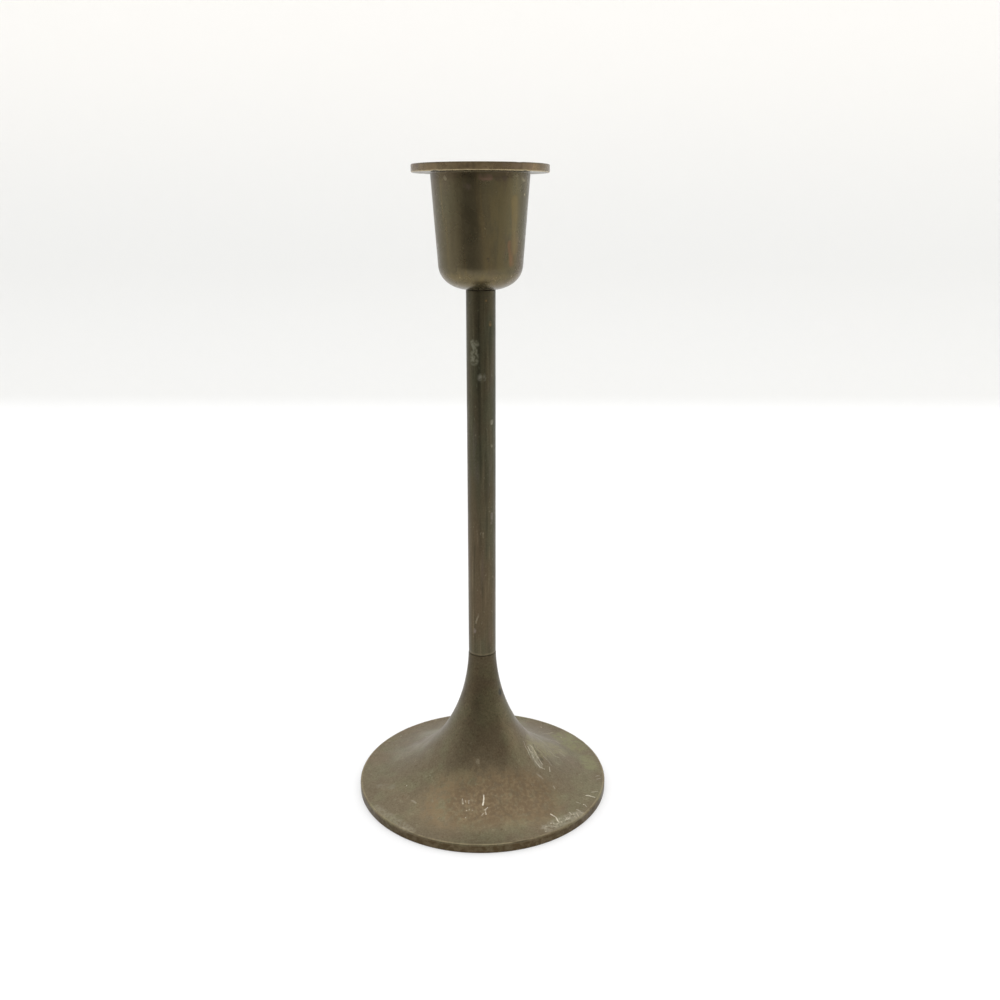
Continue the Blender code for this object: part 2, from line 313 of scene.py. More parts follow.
# %% From an outline to a plain mesh
def drawn_outline(name, outline, grooves, inside):
    """The outline in the XZ plane, with its groove depths and inside marks."""
    mesh = bpy.data.meshes.new(name + "_outline")
    places = [(radius * MM, 0, height * MM) for radius, height in outline]
    mesh.from_pydata(places, [(i, i + 1) for i in range(len(places) - 1)], [])
    depths = [depth * MM for depth in grooves or [0] * len(outline)]
    hidden = [float(inside(*point)) if inside else 0.0 for point in outline]
    for label, values in (("groove", depths), ("inside", hidden)):
        mesh.attributes.new(label, "FLOAT", "POINT").data.foreach_set("value", values)
    return mesh


def turned_mesh(outline_mesh, metal, dials):
    """The outline, turned round Z by the lathe tree; a flat radius of a metre cuts no flats."""
    draft = placed(outline_mesh.name, outline_mesh)
    modifier = draft.modifiers.new("lathe", "NODES")
    modifier.node_group = LATHE
    settings = {
        "Steps": 144, "Closed": 1, "Waviness": 0.0, "Wave Length": 10 * MM, "Seed": 0.0,
        "Flats": 6, "Flat Radius": 1.0, "Pitch": 0.8 * MM, "Metal": metal,
    }
    settings.update({key.replace("_", " ").title(): value for key, value in dials.items()})
    items = LATHE.interface.items_tree
    sockets = {item.name: item.identifier for item in items if item.in_out == "INPUT"}
    for key, value in settings.items():
        modifier[sockets[key]] = value
    graph = bpy.context.evaluated_depsgraph_get()
    mesh = bpy.data.meshes.new_from_object(draft.evaluated_get(graph))
    bpy.data.objects.remove(draft, do_unlink=True)
    return mesh


print("the lathe's dials:", ", ".join(item.name for item in LATHE.interface.items_tree))

# %% [markdown]
# ## Dents, and a place on a body
# A dent pushes the skin in round one place. The sign of the volume is checked first, because a
# skin that comes out inside out would render dark and fill the wrong side when it is printed. The
# finished piece stands for its CAD solid and rides on the same body.

# %% Close, dent and hang up a piece
SHARP_EDGE_DEG = 28
NO_DISTANCE = 0.0001 * MM
BODIES = frame["record"]["behaviour"]["bodies"]
NODE_BODY = {node: body for body, nodes in BODIES.items() for node in nodes}


def knocked(mesh, dents):
    """Turns the faces outwards and pushes the dents in; measures the volume and the open edges."""
    shape = bmesh.new()
    shape.from_mesh(mesh)
    bmesh.ops.dissolve_degenerate(shape, dist=NO_DISTANCE, edges=shape.edges)
    if shape.calc_volume(signed=True) < 0:
        bmesh.ops.reverse_faces(shape, faces=shape.faces)
    shape.normal_update()
    for spot, size, depth in dents:
        for vertex in shape.verts:
            near = 1 - (vertex.co / MM - Vector(spot)).length / size
            if near > 0:
                vertex.co -= vertex.normal * depth * MM * near * near * (3 - 2 * near)
    measured = shape.calc_volume(signed=True), sum(not edge.is_manifold for edge in shape.edges)
    shape.to_mesh(mesh)
    shape.free()
    return measured


def turned_piece(name, node, outline, metal, grooves=None, inside=None, dents=(), **dials):
    """The finished piece, in the place of its CAD solid and on its body."""
    mesh = turned_mesh(drawn_outline(name, outline, grooves, inside), metal, dials)
    volume, open_edges = knocked(mesh, dents)
    mesh.shade_smooth()
    mesh.set_sharp_from_angle(angle=math.radians(SHARP_EDGE_DEG))
    piece = placed(name, mesh)
    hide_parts(node)
    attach(piece, NODE_BODY[node])
    print(f"{name}: {len(mesh.polygons)} faces, {volume * 1e6:.2f} cm3, {open_edges} open edges")


print("bodies:", ", ".join(sorted(set(NODE_BODY.values()))))

# %% [markdown]
# ## Blotches
# A patina is never even. It has clouds a centimetre wide, streaks where drops ran down, and specks
# below a millimetre, and all of these are one thing at different sizes: noise, cut by two levels
# into "none" and "full" with a soft edge between them. So one node group serves for all. Stretch
# squeezes the noise along an axis, and a squeeze of a tenth along Z makes upright streaks.

# %% The blotches group
EVEN = (1, 1, 1)
UPRIGHT = (1, 1, 0.15)
SIDEWAYS = (0.35, 1.7, 1.2)

BLOTCHES, given = new_group(
    "blotches", "ShaderNodeTree",
    [
        ("Place", "Vector"), ("Stretch", "Vector"), ("Size", "Float"), ("Seed", "Float"),
        ("Low", "Float"), ("High", "Float"), ("From", "Float"), ("To", "Float"),
    ],
    ("Share", "Float"),
)
pulled = [given["Place"], given["Stretch"]]
stretched = add_node(BLOTCHES, "ShaderNodeVectorMath", pulled, operation="MULTIPLY")
per_metre = add_node(BLOTCHES, "ShaderNodeMath", [1.0, given["Size"]], operation="DIVIDE")
cloud = add_node(
    BLOTCHES, "ShaderNodeTexNoise",
    {"Vector": stretched, "W": given["Seed"], "Scale": per_metre, "Detail": 3.0, "Distortion": 0.4},
    noise_dimensions="4D",
)
levels = {
    "Value": cloud, "From Min": given["Low"], "From Max": given["High"],
    "To Min": given["From"], "To Max": given["To"],
}
share = add_node(BLOTCHES, "ShaderNodeMapRange", levels, interpolation_type="SMOOTHSTEP", clamp=False)
add_node(BLOTCHES, "NodeGroupOutput", [share])


def blotches(tree, place, size, seed, levels, shares=(0.0, 1.0), stretch=EVEN):
    """The first share off the blotches and the second on them; their size is in millimetres."""
    values = [place, stretch, size * MM, seed, *levels, *shares]
    return add_node(tree, "ShaderNodeGroup", values, node_tree=BLOTCHES)


print(f"{len(BLOTCHES.nodes)} nodes make the blotches, and {UPRIGHT} stretches them along Z")

# %% [markdown]
# ## Strokes
# Scratches and spots sit in one place each, so noise can't make them. A stroke is everything that
# lies within a width of a line between two points; with one point alone it is a spot, and when
# the points are given as (radius, height) it is a ring round the axis. A group measures the
# distance, and a helper takes the strongest of a list of strokes.

# %% The stroke group
CORE_SHARE = 0.4
STROKE, given = new_group(
    "stroke", "ShaderNodeTree",
    [("Place", "Vector"), ("Start", "Vector"), ("End", "Vector"), ("Width", "Float")],
    ("Share", "Float"),
)
way = add_node(STROKE, "ShaderNodeVectorMath", [given["End"], given["Start"]], operation="SUBTRACT")
off = add_node(STROKE, "ShaderNodeVectorMath", [given["Place"], given["Start"]], operation="SUBTRACT")
reached = add_node(STROKE, "ShaderNodeVectorMath", [off, way], operation="DOT_PRODUCT")
whole = add_node(STROKE, "ShaderNodeVectorMath", [way, way], operation="DOT_PRODUCT")
passed = add_node(STROKE, "ShaderNodeMath", [reached, whole], operation="DIVIDE")
started = add_node(STROKE, "ShaderNodeMath", [passed, 0.0], operation="MAXIMUM")
along = add_node(STROKE, "ShaderNodeMath", [started, 1.0], operation="MINIMUM")
nearest = add_node(STROKE, "ShaderNodeVectorMath", {"Vector": way, "Scale": along}, operation="SCALE")
gap = add_node(STROKE, "ShaderNodeVectorMath", [off, nearest], operation="DISTANCE")
core = add_node(STROKE, "ShaderNodeMath", [given["Width"], CORE_SHARE], operation="MULTIPLY")
edge = {"Value": gap, "From Min": given["Width"], "From Max": core}
share = add_node(STROKE, "ShaderNodeMapRange", edge, interpolation_type="SMOOTHSTEP", clamp=False)
add_node(STROKE, "NodeGroupOutput", [share])


def strokes(tree, place, lines):
    """How much of a surface (start, end, half width) lines and (place, half width) spots cover."""
    covered = 0.0
    for *ends, width in lines:
        start, end = ([c * MM for c in (*point, 0)[:3]] for point in (ends[0], ends[-1]))
        near = add_node(tree, "ShaderNodeGroup", [place, start, end, width * MM], node_tree=STROKE)
        covered = add_node(tree, "ShaderNodeMath", [covered, near], operation="MAXIMUM")
    return covered


print(f"{len(STROKE.nodes)} nodes make a stroke")

# %% [markdown]
# ## Old metal: the patina
# The candlestick was once bright. Handling and damp have given the brass a thin skin of brown and
# olive oxide, and the colour is built as that was, in layers: a base tone, skins of blotches over
# it, and a fine grain. Real grain is a few hundredths of a millimetre and a picture can't show
# it, so it is drawn ten times coarser. Where a piece is darker towards one end, a tint comes in
# along its height.

# %% The patina's colour
GRAIN_SEED = 20
GRAIN_LEVELS = (0.3, 0.7)


def patina(tree, place, base, skins, grain_mm, grain_strength, seed):
    """A base tone under skins of blotches, and the grain over them."""
    colour = linear(base)
    for number, (tone, strength, size, stretch, *levels) in enumerate(skins):
        share = blotches(tree, place, size, seed + number, levels, (0.0, strength), stretch)
        layer = {"Factor": share, "A": colour, "B": linear(tone)}
        colour = add_node(tree, "ShaderNodeMix", layer, data_type="RGBA")
    grain = blotches(tree, place, grain_mm, seed + GRAIN_SEED, GRAIN_LEVELS)
    lighter = [grain, 2 * grain_strength, 1 - grain_strength]
    gain = add_node(tree, "ShaderNodeMath", lighter, operation="MULTIPLY_ADD")
    layer = {"Vector": colour, "Scale": gain}
    return add_node(tree, "ShaderNodeVectorMath", layer, operation="SCALE"), grain


def faded(tree, height, colour, low, high, tint):
    """The colour, multiplied by a tint that comes in from one height to another."""
    levels = {"Value": height, "From Min": low * MM, "From Max": high * MM}
    share = add_node(tree, "ShaderNodeMapRange", levels, interpolation_type="SMOOTHSTEP", clamp=False)
    layer = {"Factor": share, "A": colour, "B": linear(tint)}
    return add_node(tree, "ShaderNodeMix", layer, data_type="RGBA", blend_type="MULTIPLY")


print("a skin is a tone, its strength, the size of its blotches, their stretch and two noise levels")

# %% [markdown]
# ## Old metal: stains, rings and scratches
# Stains have places of their own, and rings go round the axis where an edge is rubbed or dirt
# collects. Both are strokes broken up by blotches, or they would look painted on. A scratch is
# a stroke down to bare metal, chipped along its length, and it is cut into the skin as well.

# %% Marks in their places
RAGGED_SIZE = 1.4
RAGGED_REACH = 0.4
BROKEN_SIZE = 1.6
BROKEN_LEVELS = (0.36, 0.58)
STAIN_SEED = 30
CHIP_SIZE = 0.6
CHIP_LEVELS = (0.36, 0.56)
CHIP_SHARES = (0.4, 1.0)
CHIP_SEED = 50


def ragged_place(tree, place):
    """The place, swung about a little, which makes the edges of strokes ragged."""
    swirl = add_node(tree, "ShaderNodeTexNoise", {"Vector": place, "Scale": 1 / (RAGGED_SIZE * MM)})
    middle = [swirl.outputs["Color"], (0.5, 0.5, 0.5)]
    swing = add_node(tree, "ShaderNodeVectorMath", middle, operation="SUBTRACT")
    moved = [swing, [RAGGED_REACH * MM] * 3, place]
    return add_node(tree, "ShaderNodeVectorMath", moved, operation="MULTIPLY_ADD")


def stained(tree, place, where, colour, spots, least, seed):
    """The colour under (tone, strength, stretch, line, ...) marks, and how much they cover."""
    dull = 0.0
    for number, (tone, strength, stretch, *lines) in enumerate(spots):
        shares = (least * strength, strength)
        mark_seed = seed + STAIN_SEED + number
        broken = blotches(tree, place, BROKEN_SIZE, mark_seed, BROKEN_LEVELS, shares, stretch)
        covered = strokes(tree, where, lines)
        share = add_node(tree, "ShaderNodeMath", [covered, broken], operation="MULTIPLY")
        layer = {"Factor": share, "A": colour, "B": linear(tone)}
        colour = add_node(tree, "ShaderNodeMix", layer, data_type="RGBA")
        dull = add_node(tree, "ShaderNodeMath", [dull, share], operation="MAXIMUM")
    return colour, dull


def scratched(tree, place, where, scratches, seed):
    """How bare the metal is along (strength, lines) scratches."""
    bare = 0.0
    for strength, lines in scratches:
        covered = strokes(tree, where, lines)
        share = add_node(tree, "ShaderNodeMath", [covered, strength], operation="MULTIPLY")
        bare = add_node(tree, "ShaderNodeMath", [bare, share], operation="MAXIMUM")
    chipped = blotches(tree, place, CHIP_SIZE, seed + CHIP_SEED, CHIP_LEVELS, CHIP_SHARES)
    return add_node(tree, "ShaderNodeMath", [bare, chipped], operation="MULTIPLY")


print(f"a stroke's edge wanders by up to {RAGGED_REACH / 2} mm")

# %% [markdown]
# ## Old metal: sheen and relief
# Under its thin oxide the metal still shows a dull sheen, so it is mostly metallic, with a
# roughness of 0.3 to 0.4 that changes a little from place to place. A stain is chalkier: rougher
# and less metallic than the skin round it. Bores and hollows were never wiped, so they are
# rougher, less metallic and sandier. The grain stands up from the skin by hundredths of a
# millimetre and the scratches are cut into it.

# %% Sheen and relief
WIPED_SIZE = 6.0
WIPED_LEVELS = (0.35, 0.65)
WIPED_SEED = 60
SMOOTHER = 0.04
ROUGHER = 0.05
# What chalk, and an unwiped hollow, add to the roughness and to the metallic value.
CHALKY = (0.2, -0.5)
UNWIPED = (0.15, -0.4)
SKIN_SAND = 0.35
HOLLOW_SAND = 1.6
SCRATCH_DEPTH = 0.8
BUMP_STRENGTH = 0.5
SKIN_DEPTH = 0.05 * MM


def sheen(tree, place, roughness, metallic, dull, hidden, seed):
    """The roughness and the metallic value, changed by dull stains and hidden places."""
    shares = (roughness - SMOOTHER, roughness + ROUGHER)
    roughness = blotches(tree, place, WIPED_SIZE, seed + WIPED_SEED, WIPED_LEVELS, shares)
    for share, (rougher, more_metal) in ((dull, CHALKY), (hidden, UNWIPED)):
        added = [share, rougher, roughness]
        roughness = add_node(tree, "ShaderNodeMath", added, operation="MULTIPLY_ADD")
        added = [share, more_metal, metallic]
        metallic = add_node(tree, "ShaderNodeMath", added, operation="MULTIPLY_ADD")
    return {"Roughness": roughness, "Metallic": metallic}


def relief(tree, grain, bare, hidden):
    """The normal of a skin with its grain standing up and its bare scratches cut in."""
    sandy = add_node(tree, "ShaderNodeMath", [hidden, HOLLOW_SAND, SKIN_SAND], operation="MULTIPLY_ADD")
    hills = add_node(tree, "ShaderNodeMath", [grain, sandy], operation="MULTIPLY")
    scored_skin = add_node(tree, "ShaderNodeMath", [bare, -SCRATCH_DEPTH, hills], operation="MULTIPLY_ADD")
    shaped = {"Strength": BUMP_STRENGTH, "Distance": SKIN_DEPTH, "Height": scored_skin}
    return {"Normal": add_node(tree, "ShaderNodeBump", shaped)}


print(f"a scratch is {SCRATCH_DEPTH * SKIN_DEPTH / MM:.2f} mm deep")

# %% [markdown]
# ## Old metal: the whole finish
# One function puts the layers together, from the base tone up to the scratches. It is called once
# for each stock that the candlestick is made of, with that stock's own tones, sizes and marks.

# %% Worn metal
BARE_METAL = "#ece5d2"
DUSTY_HOLLOW = "#3a362c"
INSIDE_SHARE = 0.7
STAIN_LEAST = 0.12
RING_LEAST = 0.6


def with_empty_tree(owner):
    """A new material or world, its node tree emptied, and that tree."""
    owner.use_nodes = True
    owner.node_tree.nodes.clear()
    return owner, owner.node_tree


def worn_metal(name, base, roughness, metallic, skins, grain_mm, grain_strength, seed,
               stains=(), rings=(), scratches=(), inside=DUSTY_HOLLOW, fade=None):
    metal, tree = with_empty_tree(bpy.data.materials.new(name))
    place = add_node(tree, "ShaderNodeTexCoord").outputs["Object"]
    flat = add_node(tree, "ShaderNodeVectorMath", [place, (1, 1, 0)], operation="MULTIPLY")
    radius = add_node(tree, "ShaderNodeVectorMath", [flat], operation="LENGTH")
    height = add_node(tree, "ShaderNodeSeparateXYZ", [place]).outputs["Z"]
    section = add_node(tree, "ShaderNodeCombineXYZ", [radius, height])
    ragged = ragged_place(tree, place)

    colour, grain = patina(tree, place, base, skins, grain_mm, grain_strength, seed)
    if fade:
        colour = faded(tree, height, colour, *fade)
    colour, dull = stained(tree, place, ragged, colour, stains, STAIN_LEAST, seed)
    colour = stained(tree, place, section, colour, rings, RING_LEAST, seed)[0]
    bare = scratched(tree, place, ragged, scratches, seed)
    hidden = add_node(tree, "ShaderNodeAttribute", attribute_name="inside").outputs["Fac"]
    grimy = add_node(tree, "ShaderNodeMath", [hidden, INSIDE_SHARE], operation="MULTIPLY")
    for share, tone in ((bare, BARE_METAL), (grimy, inside)):
        layer = {"Factor": share, "A": colour, "B": linear(tone)}
        colour = add_node(tree, "ShaderNodeMix", layer, data_type="RGBA")

    skin = {"Base Color": colour, **sheen(tree, place, roughness, metallic, dull, hidden, seed)}
    skin.update(relief(tree, grain, bare, hidden))
    shader = add_node(tree, "ShaderNodeBsdfPrincipled", skin)
    add_node(tree, "ShaderNodeOutputMaterial", [shader])
    print(f"{name}: {len(tree.nodes)} nodes")
    return metal


print("bare brass shows through the scratches in", BARE_METAL)

# %% [markdown]
# ## Foot: the form
# One casting: a slim neck that spreads like a trumpet into a thin disc, hollow underneath at an
# even wall, with a flat seat up inside for the washer. The trumpet is one cubic curve, chosen so
# that the neck leaves the stem almost without a step and the disc ends almost level. The wall
# under it is the same curve, moved in by the wall's thickness.

# %% The foot's outline
FOOT_RADIUS = 37.3
FOOT_EDGE = 2.7
FOOT_WALL = 2.3
NECK_RADIUS = 4.05
NECK_TOP = 43.1
NECK_HEADING = -88
NECK_REACH = 22.7
DISC_HEADING = 180
DISC_REACH = 18.2
FLARE_POINTS = 150
BORE = 2.8
SEAT_HEIGHT = 17.0
RING_INSIDE = 34.3

upper_side = curve_between(
    (NECK_RADIUS, NECK_TOP), NECK_HEADING, NECK_REACH,
    (FOOT_RADIUS, FOOT_EDGE), DISC_HEADING, DISC_REACH, FLARE_POINTS,
)
upper = np.array(upper_side)[:, :2]
step = np.diff(upper, axis=0)
step /= np.linalg.norm(step, axis=1)[:, None]
wall = (upper[:-1] + upper[1:]) / 2 + FOOT_WALL * np.stack([step[:, 1], -step[:, 0]], axis=1)
hollow = wall[(wall[:, 0] < RING_INSIDE) & (wall[:, 1] < SEAT_HEIGHT)][::-1]
seat_edge = np.interp(SEAT_HEIGHT, wall[::-1, 1], wall[::-1, 0])

# The curve's first points are left out, to make room for the round at the neck's top.
foot_corners = [(NECK_RADIUS, NECK_TOP, 0.08)] + upper_side[3:-1]
foot_corners += [(FOOT_RADIUS, FOOT_EDGE, 0.55), (FOOT_RADIUS, 0, 0.3), (RING_INSIDE, 0, 0.3)]
foot_corners += [(radius, height, 0) for radius, height in hollow[::2]]
foot_corners += [(seat_edge, SEAT_HEIGHT, 1.5), (BORE, SEAT_HEIGHT, 0.15), (BORE, NECK_TOP, 0.1)]
foot_outline = rounded(foot_corners)
print(f"{len(foot_outline)} points, the washer's seat is {2 * seat_edge:.1f} mm across")

# %% [markdown]
# ## Foot: its scratches
# The disc shows decades of use: a bright upright nick in front, dashes beside it, a bundle of
# gouges on the right side of the flare, fainter scuffs round them, and a chewed stretch along the
# right edge. Each was placed on the trumpet by its (x, y) place, in millimetres, and the outline
# gives its height.

# %% Scratches on the foot that show in front
def scored(*scratches):
    """Strokes along (width, point, ...) scratches through (x, y) points; one point gives a spot."""
    lines = []
    for width, *points in scratches:
        heights = [float(np.interp(math.hypot(x, y), upper[:, 0], upper[:, 1])) for x, y in points]
        lifted = [(x, y, height) for (x, y), height in zip(points, heights)]
        lines += [(start, end, width) for start, end in zip(lifted, lifted[1:] or lifted)]
    return lines


bright_nick = scored((0.27, (0.6, -21.2), (0.6, -22.9), (0.4, -23.7)))
rim_nicks = scored(
    (0.24, (30.7, -13.5), (31.7, -13.5), (33.2, -14.2)), (0.38, (26.3, -22.9)),
    (0.26, (19.8, -23.8), (21.1, -24.7), (21.9, -26.9)), (0.26, (29.6, -18.0)),
)
front_dashes = scored(
    (0.20, (1.8, -24.3), (0.9, -25.1)), (0.24, (1.2, -25.1), (1.3, -26.3)),
    (0.26, (-4.2, -25.0)), (0.26, (-22.3, -12.3)), (0.28, (18.0, -31.1)),
    (0.24, (25.2, -24.6), (23.8, -25.8)), (0.24, (20.1, -6.2), (20.2, -7.9)),
)
gouges = scored(
    (0.26, (13.7, -4.8), (14.8, -6.0), (15.9, -7.6), (17.2, -8.5)),
    (0.24, (14.5, -3.1), (15.8, -4.0), (17.1, -5.6), (18.0, -6.9)),
    (0.22, (15.2, -6.5), (16.5, -7.7)), (0.20, (15.6, -4.6), (16.6, -5.7)),
    (0.22, (17.2, -8.5), (18.6, -8.2)), (0.20, (14.2, -5.6), (15.0, -5.2), (15.9, -6.4)),
)
faint_ones = scored(
    (0.22, (-4.6, -22.3), (-4.5, -22.8)), (0.22, (-3.6, -22.4), (-3.6, -23.2)),
    (0.24, (-5.4, -21.8), (-5.3, -23.1)), (0.22, (-3.4, -24.9)), (0.22, (-2.5, -25.1)),
    (0.24, (-4.4, -27.2)), (0.22, (0.6, -26.0), (0.1, -26.6)), (0.22, (27.6, -17.3), (28.7, -17.7)),
    (0.26, (30.0, -18.2), (30.4, -19.0)), (0.26, (27.2, -22.2), (27.6, -23.7)),
    (0.22, (22.7, -26.3), (22.7, -27.0)), (0.24, (21.2, -27.6), (21.6, -27.4)),
    (0.26, (18.4, -28.9)), (0.26, (19.8, -28.7)), (0.26, (-15.3, -12.4)),
    (0.20, (12.4, -4.5), (12.9, -5.7), (13.9, -6.5)), (0.20, (13.5, -6.1), (14.4, -7.6)),
    (0.24, (34.6, -2.9), (35.7, -2.3)), (0.22, (34.7, -4.5), (35.8, -3.9)),
    (0.22, (32.3, -11.7), (34.3, -11.0)),
)
scuffs = scored(
    (0.40, (20.1, 14.5), (23.0, 15.6), (24.5, 13.9)), (0.34, (20.7, 2.8), (22.2, 1.4), (23.4, 1.9)),
    (0.40, (19.2, 19.9), (22.6, 23.0)), (0.36, (24.0, 6.0), (25.5, 4.8)),
    (0.30, (18.5, -3.0), (20.0, -3.7), (20.8, -4.8)), (0.50, (16.2, -11.4), (17.8, -11.9)),
    (0.40, (21.1, -13.1), (21.4, -13.8)), (0.40, (-20.1, -18.8), (-19.0, -19.8)),
    (0.35, (-21.9, -29.3), (-20.2, -30.5)), (0.30, (-18.9, 15.8), (-17.8, 13.4)),
)
print(f"{len(gouges)} strokes make the gouges and {len(faint_ones)} the faint scratches")

# %% [markdown]
# ## Foot: marks that fall by chance
# The crumbs of the chewed stretch are too many to place one by one, and no picture shows the back,
# which has its few faint scratches too. Both are strewn by a random generator with a fixed seed,
# so that they fall the same each time.

# %% Crumbs on the edge and scratches behind
UNSEEN_SCRATCHES = 16
CRUMBS = 20


def on_circle(turn_deg, reach):
    turn = math.radians(turn_deg)
    return reach * math.cos(turn), reach * math.sin(turn)


luck = np.random.default_rng(7)
unseen_ones = []
for scratch in range(UNSEEN_SCRATCHES):
    x, y = on_circle(luck.uniform(15, 165), luck.uniform(16, 35.5))
    ending = (x + luck.normal(0, 0.9), y + luck.normal(0, 0.9))
    unseen_ones += scored((luck.uniform(0.2, 0.3), (x, y), ending))

crumbs = []
for crumb in range(CRUMBS):
    x, y = on_circle(luck.uniform(-59, -36), FOOT_RADIUS - luck.uniform(1.0, 3.6))
    ending = (x + luck.normal(0, 0.4), y + luck.normal(0, 0.3))
    crumbs += scored((luck.uniform(0.15, 0.28), (x, y), ending))
print(f"{len(unseen_ones)} faint scratches behind and {len(crumbs)} crumbs")

# %% [markdown]
# ## Foot: its dents
# The gouges are real dents as well, and the top corner of the disc has been knocked all round,
# most of all on the right in front. Twenty-six small knocks come from the same seed.

# %% Dents in the foot
GOUGE_DENTS = [
    ((15.6, -5.2, 11.9), 2.2, 0.14), ((16.6, -6.6, 10.6), 2.4, 0.16), ((17.4, -4.4, 10.5), 1.8, 0.10),
]
RIM_KNOCKS = 26
IN_FRONT = 14
CORNER_INSET = 0.2

foot_dents = list(GOUGE_DENTS)
for knock in range(RIM_KNOCKS):
    turn_deg = luck.uniform(-75, -20) if knock < IN_FRONT else luck.uniform(0, 360)
    corner = (*on_circle(turn_deg, FOOT_RADIUS - CORNER_INSET), FOOT_EDGE - CORNER_INSET)
    foot_dents.append((corner, luck.uniform(1.2, 2.2), luck.uniform(0.05, 0.14)))
print(f"{len(foot_dents)} dents, the deepest {max(depth for spot, size, depth in foot_dents):.2f} mm")

# %% [markdown]
# ## Foot: the finish
# Sand-cast brass, turned smooth on top, then left to a dull grey-brown patina. The eye sees a grey
# olive on the sides, a browner and more speckled front, and a neck that is darker the nearer it
# comes to the stem. Round the disc the top corner carries a thin pale line, partly rubbed metal and
# partly a painted highlight, and the upright edge under it is darker. The hollow was never
# polished, so it is darker and rougher.

# %% Cast brass with a grey-brown patina
GOUGED = (2.6, 0.8, 1.2)
FINER = (1.7, 1.7, 1.7)

FOOT_BRASS = worn_metal(
    "cast_brass_grey_brown_patina", "#736853", roughness=0.42, metallic=0.85, seed=3.0,
    skins=[
        ("#78745a", 0.65, 9.0, EVEN, 0.42, 0.60),
        ("#7a6b55", 0.42, 7.0, EVEN, 0.50, 0.66),
        ("#6a5f4a", 0.45, 2.6, EVEN, 0.50, 0.70),
        ("#928a70", 0.30, 1.3, EVEN, 0.58, 0.72),
        ("#54442f", 0.38, 0.9, EVEN, 0.59, 0.69),
    ],
    fade=(6.0, 38.0, "#b4b0a8"), grain_mm=0.5, grain_strength=0.14,
    stains=[
        ("#806c4d", 0.75, EVEN, ((-9.0, -22.5, 6.0), (14.0, -20.0, 6.0), 12.0)),
        ("#625038", 0.66, FINER, ((-3.0, -23.0, 6.0), (15.0, -19.0, 6.0), 10.0)),
        ("#84855c", 0.55, EVEN, ((25.5, 20.7, 3.1), (29.0, 14.0, 3.1), 5.0)),
        ("#84855c", 0.50, SIDEWAYS, ((32.8, 6.9, 3.0), (33.0, 3.0, 3.0), 3.5)),
        ("#a09c70", 0.36, FINER, ((16.0, -2.0, 12.9), (23.0, 8.0, 7.0), 5.5)),
        ("#97927f", 0.30, FINER, ((-17.0, 6.0, 10.0), (-25.0, 5.0, 5.0), 4.0)),
        ("#a8a28e", 0.42, FINER, ((18.5, -29.5, 2.8), (28.0, -22.8, 2.8), 2.4)),
        ("#8c8672", 0.40, SIDEWAYS, ((-30.6, -9.1, 3.2), (-26.8, -10.9, 4.0), 1.6)),
        ("#a09a84", 0.34, FINER, ((-30.5, -19.5, 2.8), (-19.5, -30.8, 2.8), 1.8)),
        # Painted shade inside the gouges, on their far side.
        ("#4e4a39", 0.60, EVEN, ((15.6, -1.8, 12.6), (17.8, -4.9, 10.0), 1.0)),
        ("#57523f", 0.50, EVEN, *scored((0.45, (19.7, -2.2), (21.2, -3.8), (23.1, -4.3), (24.6, -4.7)))),
        ("#a8a492", 0.36, GOUGED, ((14.6, -4.6, 13.0), (16.9, -7.6, 10.1), 2.3)),
        ("#2c2c22", 0.90, EVEN, ((5.3, -2.4, 30.9), 1.4)),
        ("#8f8770", 0.50, EVEN, ((-1.3, -13.9, 14.7), (-1.2, -14.6, 14.0), 0.9)),
    ],
    rings=[
        ("#46371f", 0.90, EVEN, ((37.3, 0.2), (37.3, 1.7), 0.8)),
        # The disc's top corner: partly rubbed metal, partly a painted highlight.
        ("#b9ab88", 0.28, UPRIGHT, ((36.95, 2.72), 0.36)),
        ("#9c8a5e", 0.50, EVEN, ((35.8, 0.0), 1.3)),
    ],
    scratches=[
        (0.85, bright_nick), (0.65, rim_nicks), (0.40, front_dashes), (0.38, gouges),
        (0.30, crumbs), (0.26, faint_ones + unseen_ones), (0.13, scuffs),
    ],
    inside="#544a38",
)

# %% [markdown]
# ## Foot: turned
# A point of the outline counts as hidden when it lies well under the upper side and within the
# resting ring. At 216 steps round, a facet of the disc's edge is about a millimetre long.

# %% The foot
HAIR = 0.1
UNDER_SKIN = 1.5


def in_foot_hollow(radius, height):
    upper_height = np.interp(radius, upper[:, 0], upper[:, 1])
    return radius < RING_INSIDE + HAIR and height < upper_height - UNDER_SKIN


turned_piece(
    "foot_casting", "foot", foot_outline, FOOT_BRASS, inside=in_foot_hollow, dents=foot_dents,
    steps=216, waviness=0.03 * MM, wave_length=9 * MM, seed=1.0,
)

# %% [markdown]
# ## Stem
# A length of drawn 8 mm brass tube, cut square and deburred. Drawing leaves fine lines along the
# tube, and drops that ran down it left upright streaks, so all its skins are stretched along Z. It
# is greener and darker than the other pieces, most of all under the cup, and carries a few pale
# blooms of verdigris, chalky spots that sit on the metal.

# %% Drawn brass with a green-brown patina, and the stem
STEM_RADIUS = 4.0
STEM_TOP = 148.18
STEM_LOW = 43.24
STEM_RINGS = 60
UNSEEN_BLOOMS = 9

